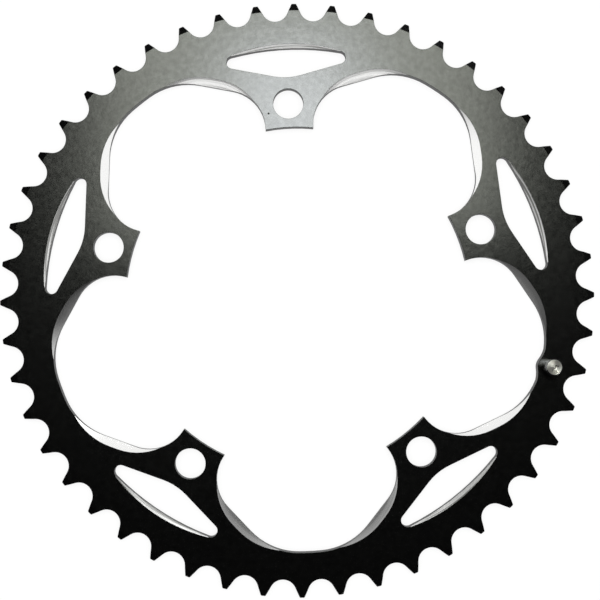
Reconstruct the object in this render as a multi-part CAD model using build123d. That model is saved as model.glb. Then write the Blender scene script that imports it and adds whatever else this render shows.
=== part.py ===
from build123d import *
from math import cos, pi, radians, sin, sqrt, tan
import os

# A five-arm bicycle chainring: a flat toothed plate with a chain-catch pin.
# Millimetres. The plate lies on z = 0 with its inner face, the crank spider's side, down.
# The outer face with the pin looks up (+Z), and one bolt arm points along +Y.

# Chain and teeth: each gap is a round roller seat on the pitch circle with straight flanks
tooth_count = 48
chain_pitch = 12.7
seat_radius = 4.5
flank_angle = 26.5
tip_width = 1.35
tip_corner_radius = 0.4
tooth_phase = 1.7

# Plate section: full thickness up to the relief behind the teeth
thickness = 3.8
tooth_thickness = 2.2
relief_below_root = 1.0
tip_bevel_width = 2.4
tip_bevel_front_depth = 1.0
tip_bevel_back_depth = 0.6
rim_width = 8.85

# Bolt arms
arm_count = 5
bolt_circle = 130.0
bolt_hole_diameter = 10.1
arm_width = 15.9
arm_end_gap = 7.85
arm_flank_radius = 13.5

# Bars that spread from each arm to the rim, and the window between them and the rim
bar_angle = 13.25
bar_width = 6.95
hole_wall = 3.2
lobe_corner_radius = 22.0
window_end_radius = 2.15
window_bottom_radius = 19.5

# Machined bevels on the outer face
bevel_angle = 45.0
bar_bevel_width = 2.5
bar_bevel_straight = 2.8
bar_bevel_shift = 0.8
bar_bevel_flank_radius = 18.7
bar_bevel_corner_radius = 21.5
window_bevel_width = 1.3
window_bevel_end_width = 0.2

# Chain-catch pin and the boss that carries it
pin_diameter = 5.1
pin_height = 8.0
pin_chamfer = 0.15
pin_inset = 2.65
pin_shank_diameter = 3.9
pin_shank_recess = 0.3
pin_fit_gap = 0.01
boss_standout = 1.35
boss_fillet_radius = 10.0

# Tooth sizes that follow: the flanks run out until the tip has its width
half_pitch_angle = pi / tooth_count
flank_slope = radians(flank_angle)
pitch_radius = chain_pitch / (2 * sin(half_pitch_angle))
tip_room = (chain_pitch - tip_width) / 2 - seat_radius / cos(flank_slope)
tip_height = tip_room / (tan(flank_slope) - sin(half_pitch_angle))
tip_radius = pitch_radius + tip_height
root_radius = pitch_radius - seat_radius
rim_inner_radius = root_radius - rim_width
beyond = 2 * tip_radius

# Arm and window sizes that follow
bolt_radius = bolt_circle / 2
arm_half_width = arm_width / 2
arm_end_radius = bolt_radius - arm_end_gap
half_sector = 180 / arm_count
window_bottom = bolt_radius + bolt_hole_diameter / 2 + hole_wall

# A bar's edges run along bar_along and face bar_across, for the arm on +Y and its +X side
bar_slope = radians(bar_angle)
bar_along = Vector(cos(bar_slope), sin(bar_slope))
bar_across = Vector(-sin(bar_slope), cos(bar_slope))
window_offset = window_bottom * cos(bar_slope)
bar_offset = window_offset - bar_width

# Rounding between arm and bar, limited by the length of the arm's side
room_share = 0.98
shoulder = (bar_offset + arm_half_width * sin(bar_slope)) / cos(bar_slope)
arm_side = shoulder - sqrt(arm_end_radius**2 - arm_half_width**2)
flank_turn = tan(radians(45 - bar_angle / 2))
flank_radius = min(arm_flank_radius, room_share * arm_side / flank_turn)
bar_start = arm_half_width / cos(bar_slope) + bar_offset * tan(bar_slope) + flank_radius * flank_turn

# Rounding between bar and rim, limited by the room between two arms and by the bar's length
rim_gap = rim_inner_radius - bar_offset
lobe_cos = cos(radians(half_sector + bar_angle))
lobe_limit = room_share * (bar_offset - rim_inner_radius * lobe_cos) / (1 - lobe_cos)
bar_limit = room_share * (rim_inner_radius + bar_offset - bar_start**2 / rim_gap) / 2
corner_radius = min(lobe_corner_radius, lobe_limit, bar_limit)
bar_end = sqrt(rim_gap * (rim_inner_radius + bar_offset - 2 * corner_radius))

# Roundings of the window, limited by its height and by the length of its lower edges
window_end = min(window_end_radius, (rim_inner_radius - window_bottom) / 4)
window_run = sqrt((rim_inner_radius - window_end) ** 2 - (window_offset + window_end) ** 2)
window_edge = window_run - window_bottom * sin(bar_slope)
window_base_radius = min(window_bottom_radius, room_share * window_edge / tan(bar_slope))

# The pin stands midway between two arms, three half sectors round from +Y, on the rim's inner edge
pin_axis_radius = rim_inner_radius + pin_inset
boss_radius = pin_inset + boss_standout
to_pin = Rot(0, 0, -3 * half_sector)


def beside_bar(offset, distance):
    """Point at a distance along a line that runs beside the bar, offset from the ring's centre."""
    return bar_across * offset + bar_along * distance


def mirrored(point):
    """The same point on the other side of the arm."""
    return Vector(-point.X, point.Y)


def corners(sketch, centre, distance):
    """Corners of a sketch that lie at one distance from a centre."""
    slack = 1e-4
    return [v for v in sketch.vertices() if abs((Vector(v) - centre).length - distance) < slack]


def around_arms(shape):
    """One copy of a shape for each arm, from the arm on +Y."""
    return PolarLocations(0, arm_count) * shape


def tooth_gap():
    """Round seat with flanks that open outwards, past the tips of the teeth."""
    start = Vector(seat_radius * cos(flank_slope), -seat_radius * sin(flank_slope))
    rise = tip_height + seat_radius - start.Y
    end = start + Vector(rise * tan(flank_slope), rise)
    seat = ThreePointArc(mirrored(start), (0, -seat_radius), start)
    sides = Polyline(start, end, mirrored(end), mirrored(start))
    return Pos(0, pitch_radius) * make_face(seat + sides)


def toothed_disc():
    """The outline of the teeth, filled in."""
    disc = Circle(tip_radius) - PolarLocations(0, tooth_count, tooth_phase) * tooth_gap()
    return fillet(corners(disc, Vector(0, 0), tip_radius), tip_corner_radius)


def centre_opening():
    """The lobed opening that leaves the arms and bars standing."""
    arm_corner = Vector(arm_half_width, shoulder)
    right = [Vector(arm_half_width, 0), arm_corner, beside_bar(bar_offset, beyond)]
    left = [mirrored(point) for point in reversed(right)]
    arm = make_face(Polyline(*right, *left, close=True))
    opening = Circle(rim_inner_radius) - around_arms(arm) + Circle(arm_end_radius)
    opening = fillet(corners(opening, Vector(0, 0), arm_corner.length), flank_radius)
    return fillet(corners(opening, Vector(0, 0), rim_inner_radius), corner_radius)


def window():
    """The window between an arm's two bars and the rim."""
    bottom = Vector(0, window_bottom)
    reach = beside_bar(window_offset, beyond)
    wedge = make_face(Polyline(bottom, reach, mirrored(reach), close=True))
    opening = Circle(rim_inner_radius) & wedge
    opening = fillet(corners(opening, Vector(0, 0), rim_inner_radius), window_end)
    return fillet(corners(opening, bottom, 0), window_base_radius)


def pin_boss():
    """Rounded swelling of the rim's inner edge, drawn with the pin on +Y."""
    pin_centre = Vector(0, pin_axis_radius)
    width = 2 * (boss_radius + boss_fillet_radius)
    rim = Circle(root_radius) - Circle(rim_inner_radius)
    rim = rim & Pos(0, rim_inner_radius) * Rectangle(width, root_radius)
    boss = rim + Pos(pin_centre) * Circle(boss_radius)
    return fillet(corners(boss, pin_centre, boss_radius), boss_fillet_radius)


def turned_section():
    """Half section of the plate: thinner behind the teeth, with both sides of the tips bevelled."""
    relief = thickness - tooth_thickness
    relief_radius = root_radius - relief_below_root
    bevel_radius = tip_radius - tip_bevel_width
    overrun = 1.1
    edge = bevel_radius + overrun * tip_bevel_width
    points = [
        (0, 0),
        (relief_radius - relief, 0),
        (relief_radius, relief),
        (bevel_radius, relief),
        (edge, relief + overrun * tip_bevel_back_depth),
        (edge, thickness - overrun * tip_bevel_front_depth),
        (bevel_radius, thickness),
        (0, thickness),
    ]
    return Plane.XZ * make_face(Polyline(*points, close=True))


def bar_bevel():
    """Crescent bevel on the inner edge of the bar on the arm's +X side, up to midway to the next arm."""
    offset = bar_offset + bar_bevel_width
    middle = (bar_start + bar_end) / 2 + bar_bevel_shift
    start = beside_bar(offset, middle - bar_bevel_straight / 2)
    end = beside_bar(offset, middle + bar_bevel_straight / 2)
    flank_sweep = 80
    corner_sweep = 90
    flank = JernArc(start, -bar_along, bar_bevel_flank_radius, flank_sweep)
    corner = JernArc(end, bar_along, bar_bevel_corner_radius, -corner_sweep)
    crescent = make_face(flank + Line(start, end) + corner + Line(flank @ 1, corner @ 1))
    midway = Vector(0, beyond).rotate(Axis.Z, -half_sector)
    sector = make_face(Polyline((0, 0), midway, (0, beyond), close=True))
    overcut = 0.5
    depth = (bar_bevel_width + overcut) / tan(radians(bevel_angle))
    face = Pos(0, 0, thickness) * (crescent & sector)
    return extrude(face, depth, dir=(0, 0, -1), taper=bevel_angle)


def window_bevel():
    """Crescent bevel on the rim's edge of a window: a cone, kept between the window's rounded ends."""
    end_centre = beside_bar(window_offset + window_end, window_run)
    end = end_centre * (rim_inner_radius / (rim_inner_radius - window_end))
    sagitta = rim_inner_radius + window_bevel_width - end.Y - window_bevel_end_width
    cone_radius = (end.X**2 + sagitta**2) / (2 * sagitta)
    cone_height = cone_radius / tan(radians(bevel_angle))
    cone_centre = rim_inner_radius + window_bevel_width - cone_radius
    cone = Cone(0, cone_radius, cone_height, align=(Align.CENTER, Align.CENTER, Align.MAX))
    outer = end_centre * 2
    between_ends = Polyline(end_centre, outer, mirrored(outer), mirrored(end_centre), close=True)
    return Pos(0, cone_centre, thickness) * cone & extrude(make_face(between_ends), thickness)


def standing_cylinder(diameter, base, height):
    """Upright cylinder on the pin's axis, from a base height."""
    axis = to_pin * Pos(0, pin_axis_radius, base)
    return axis * Cylinder(diameter / 2, height, align=(Align.CENTER, Align.CENTER, Align.MIN))


# The plate: outline and openings, turned section, then the bevels
bolt_holes = around_arms(Pos(0, bolt_radius) * Circle(bolt_hole_diameter / 2))
pin_hole = to_pin * Pos(0, pin_axis_radius) * Circle(pin_shank_diameter / 2 + pin_fit_gap)
outline = toothed_disc() - centre_opening() - around_arms(window()) - bolt_holes
outline = outline + to_pin * pin_boss() - pin_hole
chainring = extrude(outline, thickness) & revolve(turned_section(), Axis.Z)
right_bevel = bar_bevel()
for bevel in (right_bevel, mirror(right_bevel, Plane.YZ), window_bevel()):
    chainring = chainring - around_arms(bevel)

# The pin: a head that seats on the outer face and a shank pressed into the plate
head = standing_cylinder(pin_diameter, thickness, pin_height)
head = chamfer(head.edges().sort_by(Axis.Z)[-1], pin_chamfer)
shank = standing_cylinder(pin_shank_diameter, pin_shank_recess, thickness - pin_shank_recess)
chain_catch_pin = head + shank

os.makedirs("parts", exist_ok=True)
export_step(chainring, "parts/chainring.step")
export_step(chain_catch_pin, "parts/chain_catch_pin.step")
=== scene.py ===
from math import cos, pi, radians, sin

import bpy
from mathutils import Matrix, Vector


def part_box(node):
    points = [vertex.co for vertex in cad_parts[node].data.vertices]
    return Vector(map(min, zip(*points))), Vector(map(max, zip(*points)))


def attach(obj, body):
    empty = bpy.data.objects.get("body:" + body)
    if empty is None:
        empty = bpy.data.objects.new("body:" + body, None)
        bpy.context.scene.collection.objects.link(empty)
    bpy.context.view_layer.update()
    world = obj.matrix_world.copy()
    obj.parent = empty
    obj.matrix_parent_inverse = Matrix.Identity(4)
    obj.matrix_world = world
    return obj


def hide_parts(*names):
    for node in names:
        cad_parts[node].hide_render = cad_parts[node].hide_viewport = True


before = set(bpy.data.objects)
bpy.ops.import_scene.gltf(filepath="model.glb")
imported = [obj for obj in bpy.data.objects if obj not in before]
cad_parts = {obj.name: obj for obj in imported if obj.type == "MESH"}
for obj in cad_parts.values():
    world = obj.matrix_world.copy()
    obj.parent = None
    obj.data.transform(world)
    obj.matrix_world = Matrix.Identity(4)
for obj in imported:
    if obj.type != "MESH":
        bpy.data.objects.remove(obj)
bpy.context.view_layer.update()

# A black anodised chainring on a white floor, seen from above. Metres and degrees.
MM = 0.001
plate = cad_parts["chainring"]
face_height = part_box("chainring")[1].z
pin_low, pin_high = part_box("chain_catch_pin")

# Camera: close above the outer face, a little turned and tilted
image_pixels = 600
focal_pixels = 1359.3
camera_distance = 450 * MM
camera_right = 0.66 * MM
camera_up = -0.44 * MM
camera_tilt_x = -1.82
camera_tilt_y = 0.71
camera_roll = 2.87

# Overhead softboxes: the flat face mirrors a bright core under a wide dim one.
# The arm at the top mirrors both, so it is brightest.
softboxes = [
    {
        "place": (20 * MM, 258 * MM, 1.19),
        "size": (146 * MM, 177 * MM),
        "radiance": 7.4,
        "colour": (0.96, 1.0, 1.08),
    },
    {
        "place": (29 * MM, 410 * MM, 1.2),
        "size": (485 * MM, 585 * MM),
        "radiance": 3.4,
        "colour": (0.96, 1.0, 0.88),
    },
]

# Fill lamp: brings the light on the floor to a plain level, and the gloss doesn't mirror it
fill_place = (0, 0, 1.2)
fill_size = (1.5, 1.5)
fill_radiance = 3.0
fill_colour = (1, 1, 1)

# Light tent: cards with soft sides stand round the ring under a dark ceiling. A card's radiance goes
# from low to high over the elevations of the grade, and fades out over those of the top.
ceiling_radiance = 0.008
card_softness = 7
card_grade = (4, 18)
card_top = (20, 27)
cards = [
    {"azimuth": 355, "half_width": 23, "low": 1.3, "high": 1.3},
    {"azimuth": 38, "half_width": 14, "low": 0.06, "high": 0.52},
    {"azimuth": 57, "half_width": 7, "low": 2.5, "high": 2.5},
    {"azimuth": 91, "half_width": 27, "low": 1.25, "high": 1.2},
    {"azimuth": 140, "half_width": 21, "low": 0.06, "high": 0.52},
    {"azimuth": 171, "half_width": 12, "low": 1.35, "high": 1.35},
    {"azimuth": 208, "half_width": 25, "low": 0.26, "high": 0.1},
    {"azimuth": 270, "half_width": 36, "low": 0.4, "high": 0.34},
    {"azimuth": 320, "half_width": 14, "low": 0.18, "high": 0.04},
]

# Strip lamp in front of the ring, at a low elevation: it fades between two angles from its middle
strip_azimuth = 270
strip_half_width = 36
strip_rise = 13.4
strip_fade = (0.3, 3.4)
strip_radiance = 1.5

# Floor: mostly its own white, the rest takes light and the object's shadow
floor_size = 20.0
floor_white_share = 0.86
floor_colour = (0.92, 0.92, 0.92, 1)
white = (1, 1, 1, 1)

# Middle of a noise's range
noise_middle = 0.5

# Factors that take the height out of a place or a direction
level_only = (1, 1, 0)

# Black anodised finish: blasted to a fine grain, with duller walls and one small pit.
# In clouds it is worn: smoother, and with a share of its reflection lost.
black = (0.001, 0.001, 0.001, 1)
oxide_ior = 1.825
face_roughness = 0.17
grain_size = 1.6 * MM
grain_detail = 1.5
grain_range = (0.25, 0.75)
grain_spread = 0.008
grain_depth = 0.01 * MM
cloud_size = 1.7 * MM
cloud_detail = 4.0
cloud_range = (0.3, 0.7)
cloud_spread = 0.008
face_wear = 0.19
wall_facing = 0.3
wall_roughness = 0.55
pit_place = (-6.7 * MM, 62.0 * MM, 0)
pit_radius = (0.2 * MM, 0.4 * MM)

# Bright cut bevels: slopes within bevel_reach of the axis.
# Beyond bar_reach they belong to the windows, and within it to the bars.
bright = (0.9, 0.9, 0.89, 1)
bevel_facing = 0.707
bevel_slack = 0.12
bevel_reach = 89.5 * MM
bar_reach = 83.4 * MM
streaks_per_metre = (40, 40, 2400)
edge_round = 0.15 * MM
edge_samples = 8

# Window bevels: duller, with dark streaks
dull = (0.3, 0.3, 0.29, 1)
streak_range = (0.4, 0.55)
window_roughness = 0.28
window_metallic = 0.65

# Bar bevels: slightly crowned, with tool lines and with fine flats that face one way
bar_roughness = 0.15
crown_middle = 2.5 * MM
crown_per_metre = 40
tool_line_tilt = 0.12
arm_count = 5
first_arm = 90
flat_turn = 15
flat_share = 0.75

# Turned pin: a bright end with fine rings, and a side and chamfer painted dark as shade
steel = (0.84, 0.81, 0.77, 1)
painted_shade_steel = (0.13, 0.13, 0.13, 1)
pin_end_facing = 0.9
pin_end_roughness = 0.28
pin_side_roughness = 0.2
pin_mark_size = 1.6 * MM
pin_mark_detail = 4.0
pin_mark_range = (0.2, 0.8)
pin_mark_spread = 0.015
pin_shank_radius = 1.95 * MM
pin_chamfer = 0.15 * MM
pin_segments = 96
pin_sharp_angle = 30
ring_pitch = 0.1 * MM
ring_depth = 0.0105 * MM
steps_per_ring = 4

# Sockets of a mix node: both inputs and the output, for each kind of value
mix_sockets = {"FLOAT": (2, 3, 0), "VECTOR": (4, 5, 1), "RGBA": (6, 7, 2)}


class Graph:
    """Short calls that add nodes to one tree and link them."""

    def __init__(self, tree):
        self.tree = tree
        tree.nodes.clear()

    def feed(self, socket, value):
        """Link a socket to another, or set its value."""
        if isinstance(value, bpy.types.NodeSocket):
            self.tree.links.new(value, socket)
        else:
            socket.default_value = value

    def add(self, kind, inputs=None, **settings):
        """A node of one kind, with its settings and inputs."""
        node = self.tree.nodes.new(kind)
        for name, value in settings.items():
            setattr(node, name, value)
        for name, value in (inputs or {}).items():
            self.feed(node.inputs[name], value)
        return node

    def math(self, operation, *values):
        """One sum or comparison of sockets and numbers."""
        node = self.add("ShaderNodeMath", operation=operation)
        for socket, value in zip(node.inputs, values):
            self.feed(socket, value)
        return node.outputs[0]

    def vector(self, operation, *values):
        """One vector sum of sockets and triples."""
        node = self.add("ShaderNodeVectorMath", operation=operation)
        for socket, value in zip(node.inputs, values):
            self.feed(socket, value)
        return node.outputs["Value" if operation in ("DOT_PRODUCT", "LENGTH") else "Vector"]

    def step(self, value, span, low=0.0, high=1.0):
        """Smooth step from low to high while a value goes through a span."""
        inputs = {"Value": value, "From Min": span[0], "From Max": span[1], "To Min": low, "To Max": high}
        return self.add("ShaderNodeMapRange", inputs, interpolation_type="SMOOTHSTEP").outputs[0]

    def mix(self, kind, factor, first, second):
        """Value of one kind that goes from first to second."""
        first_socket, second_socket, result = mix_sockets[kind]
        inputs = {0: factor, first_socket: first, second_socket: second}
        return self.add("ShaderNodeMix", inputs, data_type=kind).outputs[result]

    def blend(self, factor, first, second):
        """Number that goes from first to second."""
        return self.mix("FLOAT", factor, first, second)

    def blend_vector(self, factor, first, second):
        """Vector that goes from first to second."""
        return self.mix("VECTOR", factor, first, second)

    def blend_colour(self, factor, first, second):
        """Colour that goes from first to second."""
        return self.mix("RGBA", factor, first, second)

    def noise(self, place, scale, detail=2.0):
        """Noise from 0 to 1, with a size of 1 / scale."""
        return self.add("ShaderNodeTexNoise", {"Vector": place, "Scale": scale, "Detail": detail}).outputs[0]

    def axes(self, vector):
        """The three parts of a vector."""
        return self.add("ShaderNodeSeparateXYZ", {"Vector": vector}).outputs

    def joined(self, **parts):
        """Vector made of its X, Y and Z parts."""
        return self.add("ShaderNodeCombineXYZ", parts).outputs[0]

    def end(self, surface, kind="ShaderNodeOutputMaterial"):
        """The tree's output."""
        self.add(kind, {"Surface": surface})


def new_material(name):
    """An empty node material and its graph."""
    material = bpy.data.materials.new(name)
    material.use_nodes = True
    return material, Graph(material.node_tree)


def flat_facing(graph, place):
    """Direction that the fine flats of a bar bevel face: inwards and up, and a little away from the arm."""
    half_sector = pi / arm_count
    parts = graph.axes(place)
    angle = graph.math("ARCTAN2", parts["Y"], parts["X"])
    off_arm = graph.math("SUBTRACT", angle, radians(first_arm))
    off_arm = graph.math("WRAP", off_arm, half_sector, -half_sector)
    turn = graph.math("MULTIPLY", graph.math("SIGN", off_arm), radians(flat_turn))
    outward = graph.math("SUBTRACT", graph.math("SUBTRACT", angle, off_arm), turn)
    inward = graph.math("ADD", outward, pi)
    towards = graph.joined(X=graph.math("COSINE", inward), Y=graph.math("SINE", inward), Z=1.0)
    return graph.vector("NORMALIZE", towards)


def plate_normal(graph, place, normal, streak, bar):
    """Normal of the plate: rounded edges, and flats, a crown and tool lines on the bevels of the bars."""
    rounded = graph.add("ShaderNodeBevel", {"Radius": edge_round}, samples=edge_samples).outputs[0]
    flats = graph.blend_vector(flat_share, normal, flat_facing(graph, place))
    above = graph.math("SUBTRACT", graph.axes(place)["Z"], face_height - crown_middle)
    lines = graph.math("MULTIPLY", graph.math("SUBTRACT", streak, noise_middle), tool_line_tilt)
    lift = graph.math("MULTIPLY", graph.math("MULTIPLY_ADD", above, crown_per_metre, lines), bar)
    crowned = graph.vector("ADD", graph.blend_vector(bar, rounded, flats), graph.joined(Z=lift))
    return graph.vector("NORMALIZE", crowned)


def anodised_roughness(graph, grain, cloud, dulled):
    """Roughness of the anodised surface: grain and smoother clouds on the face, duller where dulled is 1."""
    fine = graph.step(grain, grain_range, face_roughness - grain_spread, face_roughness + grain_spread)
    worn = graph.step(cloud, cloud_range, cloud_spread, -cloud_spread)
    return graph.blend(dulled, graph.math("ADD", fine, worn), wall_roughness)


def anodised_plate():
    """Black anodised plate: blasted face, duller walls, and bevels cut bright afterwards."""
    material, graph = new_material("anodised_plate")
    place = graph.add("ShaderNodeTexCoord").outputs["Object"]
    level = graph.vector("MULTIPLY", place, level_only)
    radius = graph.vector("LENGTH", level)
    surface = graph.add("ShaderNodeNewGeometry").outputs
    facing = graph.axes(surface["True Normal"])["Z"]

    # Where the parts of the plate are
    sloped = graph.math("COMPARE", facing, bevel_facing, bevel_slack)
    cut = graph.math("MULTIPLY", sloped, graph.math("LESS_THAN", radius, bevel_reach))
    window = graph.math("GREATER_THAN", radius, bar_reach)
    bar = graph.math("MAXIMUM", graph.math("SUBTRACT", cut, window), 0.0)
    wall = graph.math("LESS_THAN", graph.math("ABSOLUTE", facing), wall_facing)
    from_pit = graph.vector("LENGTH", graph.vector("SUBTRACT", level, pit_place))
    pit = graph.step(from_pit, pit_radius, 1.0, 0.0)

    # The face and the walls
    grain = graph.noise(place, 1 / grain_size, grain_detail)
    cloud = graph.noise(place, 1 / cloud_size, cloud_detail)
    roughness = anodised_roughness(graph, grain, cloud, graph.math("MAXIMUM", wall, pit))
    wear = graph.step(cloud, cloud_range, 0.0, face_wear)

    # The bevels
    streak = graph.noise(graph.vector("MULTIPLY", place, streaks_per_metre), 1.0)
    streaked = graph.blend_colour(graph.step(streak, streak_range), dull, bright)
    metal = graph.blend_colour(window, bright, streaked)
    metallic = graph.blend(window, 1.0, window_metallic)
    cut_roughness = graph.blend(window, bar_roughness, window_roughness)

    bump = {
        "Strength": 1.0,
        "Distance": grain_depth,
        "Height": graph.blend(cut, grain, noise_middle),
        "Normal": plate_normal(graph, place, surface["Normal"], streak, bar),
    }
    shader = {
        "Base Color": graph.blend_colour(cut, black, metal),
        "Metallic": graph.blend(cut, wear, metallic),
        "Roughness": graph.blend(cut, roughness, cut_roughness),
        "IOR": oxide_ior,
        "Normal": graph.add("ShaderNodeBump", bump).outputs[0],
    }
    graph.end(graph.add("ShaderNodeBsdfPrincipled", shader).outputs[0])
    return material


def turned_steel():
    """Bare steel from the lathe: a bright end, a side and chamfer painted dark as shade, and slight marks.
    """
    material, graph = new_material("turned_steel_finish")
    place = graph.add("ShaderNodeTexCoord").outputs["Object"]
    facing = graph.axes(graph.add("ShaderNodeNewGeometry").outputs["True Normal"])["Z"]
    end = graph.math("GREATER_THAN", facing, pin_end_facing)
    roughness = graph.blend(end, pin_side_roughness, pin_end_roughness)
    marks = graph.noise(place, 1 / pin_mark_size, pin_mark_detail)
    marks = graph.step(marks, pin_mark_range, -pin_mark_spread, pin_mark_spread)
    shader = {
        # Painted shade: the side, the chamfer and the underside take a much darker steel than the end
        "Base Color": graph.blend_colour(end, painted_shade_steel, steel),
        "Metallic": 1.0,
        "Roughness": graph.math("ADD", roughness, marks),
    }
    graph.end(graph.add("ShaderNodeBsdfPrincipled", shader).outputs[0])
    return material


def white_floor():
    """Floor that the camera and reflections see as white, with a faint shadow left on it."""
    material, graph = new_material("white_floor")
    path = graph.add("ShaderNodeLightPath").outputs
    seen = graph.math("MAXIMUM", path["Is Camera Ray"], path["Is Glossy Ray"])
    seen = graph.math("MAXIMUM", seen, path["Is Transmission Ray"])
    share = graph.math("MULTIPLY", seen, floor_white_share)
    lit = graph.add("ShaderNodeBsdfDiffuse", {"Color": floor_colour}).outputs[0]
    plain = graph.add("ShaderNodeEmission", {"Color": white, "Strength": 1.0}).outputs[0]
    mixed = graph.add("ShaderNodeMixShader", {0: share, 1: lit, 2: plain})
    graph.end(mixed.outputs[0])
    return material


def link_object(name, data):
    """A new object in the scene."""
    thing = bpy.data.objects.new(name, data)
    bpy.context.scene.collection.objects.link(thing)
    return thing


def lathe(profile, centre, segments):
    """Points and faces of a profile of (radius, height), turned about an upright axis and closed."""
    points = [(centre.x, centre.y, profile[0][1])]
    faces = []
    rings = []
    for radius, height in profile[1:-1]:
        rings.append(len(points))
        for k in range(segments):
            angle = 2 * pi * k / segments
            points.append((centre.x + radius * cos(angle), centre.y + radius * sin(angle), height))
    points.append((centre.x, centre.y, profile[-1][1]))
    top = len(points) - 1
    for k in range(segments):
        after = (k + 1) % segments
        faces.append((0, rings[0] + after, rings[0] + k))
        faces.append((rings[-1] + k, rings[-1] + after, top))
        for low, high in zip(rings, rings[1:]):
            faces.append((low + k, low + after, high + after, high + k))
    return points, faces


def pin_profile():
    """Half section of the pin as (radius, height), with the rings that turning leaves on its end."""
    head_radius = (pin_high.x - pin_low.x) / 2
    flat_radius = head_radius - pin_chamfer
    profile = [
        (0, pin_low.z),
        (pin_shank_radius - pin_chamfer, pin_low.z),
        (pin_shank_radius, pin_low.z + pin_chamfer),
        (pin_shank_radius, face_height),
        (head_radius, face_height),
        (head_radius, pin_high.z - pin_chamfer),
    ]
    count = int(steps_per_ring * flat_radius / ring_pitch)
    for k in range(count):
        radius = flat_radius * (1 - k / count)
        wave = (1 - cos(2 * pi * k / steps_per_ring)) / 2
        profile.append((radius, pin_high.z - ring_depth * wave))
    profile.append((0, pin_high.z - ring_depth))
    return profile


def turned_pin(material):
    """The chain-catch pin, turned from its profile."""
    mesh = bpy.data.meshes.new("turned_pin")
    points, faces = lathe(pin_profile(), (pin_low + pin_high) / 2, pin_segments)
    mesh.from_pydata(points, [], faces)
    mesh.polygons.foreach_set("use_smooth", [True] * len(faces))
    mesh.set_sharp_from_angle(angle=radians(pin_sharp_angle))
    mesh.materials.append(material)
    pin = link_object("turned_pin", mesh)
    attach(pin, "root")
    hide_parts("chain_catch_pin")


def add_floor():
    """The floor under the ring."""
    half = floor_size / 2
    corners = [(-half, -half, 0), (half, -half, 0), (half, half, 0), (-half, half, 0)]
    mesh = bpy.data.meshes.new("floor")
    mesh.from_pydata(corners, [], [(0, 1, 2, 3)])
    mesh.materials.append(white_floor())
    link_object("floor", mesh)


def add_lamp(name, place, size, radiance, colour):
    """A lamp overhead that shines straight down with an even radiance."""
    data = bpy.data.lights.new(name, "AREA")
    data.shape = "RECTANGLE"
    data.size, data.size_y = size
    data.energy = radiance * pi * size[0] * size[1]
    data.color = colour
    lamp = link_object(name, data)
    lamp.location = place
    return lamp


def add_lamps():
    """The softboxes and the fill lamp."""
    for box in softboxes:
        add_lamp("softbox", box["place"], box["size"], box["radiance"], box["colour"])
    fill = add_lamp("fill_lamp", fill_place, fill_size, fill_radiance, fill_colour)
    fill.visible_glossy = False


def sines(angles):
    """Sines of two elevations, as a span of the height of a direction."""
    return [sin(radians(angle)) for angle in angles]


def azimuth_share(graph, level, azimuth, half_width):
    """1 in front of a card or the strip lamp and 0 beside it, with a soft edge."""
    middle = (cos(radians(azimuth)), sin(radians(azimuth)), 0)
    outer = cos(radians(half_width + card_softness))
    inner = cos(radians(half_width - card_softness))
    return graph.step(graph.vector("DOT_PRODUCT", level, middle), (outer, inner))


def card_light(graph, rise, level):
    """Radiance of the cards below their tops."""
    low = ceiling_radiance
    high = ceiling_radiance
    for card in cards:
        share = azimuth_share(graph, level, card["azimuth"], card["half_width"])
        low = graph.math("MULTIPLY_ADD", share, card["low"], low)
        high = graph.math("MULTIPLY_ADD", share, card["high"], high)
    return graph.blend(graph.step(rise, sines(card_grade)), low, high)


def strip_light(graph, rise, level):
    """Radiance of the strip lamp."""
    off_middle = graph.math("ABSOLUTE", graph.math("SUBTRACT", rise, sin(radians(strip_rise))))
    radiance = graph.step(off_middle, sines(strip_fade), strip_radiance, 0.0)
    return graph.math("MULTIPLY", radiance, azimuth_share(graph, level, strip_azimuth, strip_half_width))


def add_tent():
    """The light tent, as the world."""
    world = bpy.data.worlds.new("light_tent")
    world.use_nodes = True
    bpy.context.scene.world = world
    graph = Graph(world.node_tree)
    direction = graph.add("ShaderNodeTexCoord").outputs["Generated"]
    rise = graph.axes(direction)["Z"]
    level = graph.vector("NORMALIZE", graph.vector("MULTIPLY", direction, level_only))
    tent = graph.math("ADD", card_light(graph, rise, level), strip_light(graph, rise, level))
    strength = graph.blend(graph.step(rise, sines(card_top)), tent, ceiling_radiance)
    light = graph.add("ShaderNodeBackground", {"Strength": strength})
    graph.end(light.outputs[0], "ShaderNodeOutputWorld")


def add_camera():
    """The camera, at the photograph's place above the ring."""
    turn = Matrix.Rotation(radians(camera_tilt_x), 4, "X")
    turn = turn @ Matrix.Rotation(radians(camera_tilt_y), 4, "Y")
    turn = turn @ Matrix.Rotation(radians(camera_roll), 4, "Z")
    data = bpy.data.cameras.new("camera")
    data.lens = data.sensor_width * focal_pixels / image_pixels
    camera = link_object("camera", data)
    away = Matrix.Translation((camera_right, camera_up, camera_distance))
    camera.matrix_world = Matrix.Translation((0, 0, face_height)) @ turn.inverted() @ away
    bpy.context.scene.camera = camera


plate.material_slots[0].material = anodised_plate()
turned_pin(turned_steel())
add_floor()
add_lamps()
add_tent()
add_camera()
bpy.context.scene.view_settings.view_transform = "Standard"
